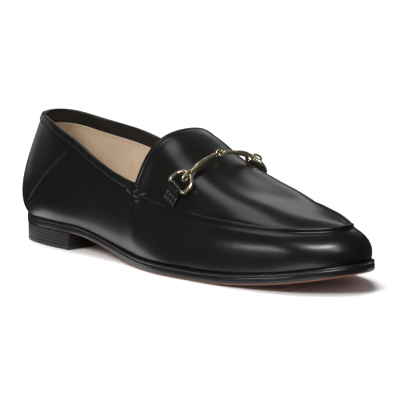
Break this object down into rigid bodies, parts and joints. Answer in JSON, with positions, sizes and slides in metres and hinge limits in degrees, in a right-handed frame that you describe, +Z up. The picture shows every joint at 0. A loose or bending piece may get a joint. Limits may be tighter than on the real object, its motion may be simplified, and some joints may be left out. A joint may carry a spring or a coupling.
{
  "type": "bit loafer",
  "caption": "Women's slip-on bit loafer, right shoe: hollow black leather upper with a raised apron seam, low stacked heel, tan sock and a pale gold snaffle across the vamp.",
  "frame": {"origin": "under the middle of the shoe's box, on the floor", "axes": "+X to the toe, -Y to the outer (lateral) side, +Z up"},
  "size_m": [0.2654, 0.0846, 0.0787],
  "materials": {
    "black_calf": "polished smooth calf",
    "sole_leather": "terracotta sole leather with a black waxed edge",
    "heel_stack": "black waxed stacked leather",
    "heel_rubber": "matt",
    "tan_lining": "natural tan, matt",
    "pale_gold": "polished pale gold plate"
  },
  "bodies": {
    "root": {"outsole": "sole_leather", "heel_block": "heel_stack", "heel_lift": "heel_rubber", "insole": "tan_lining", "upper": "black_calf", "bit_tab_lateral": "black_calf", "bit_tab_medial": "black_calf", "bit_ring_lateral": "pale_gold", "bit_ring_medial": "pale_gold", "bit_bar_lateral": "pale_gold", "bit_bar_medial": "pale_gold"}
  },
  "joints": []
}
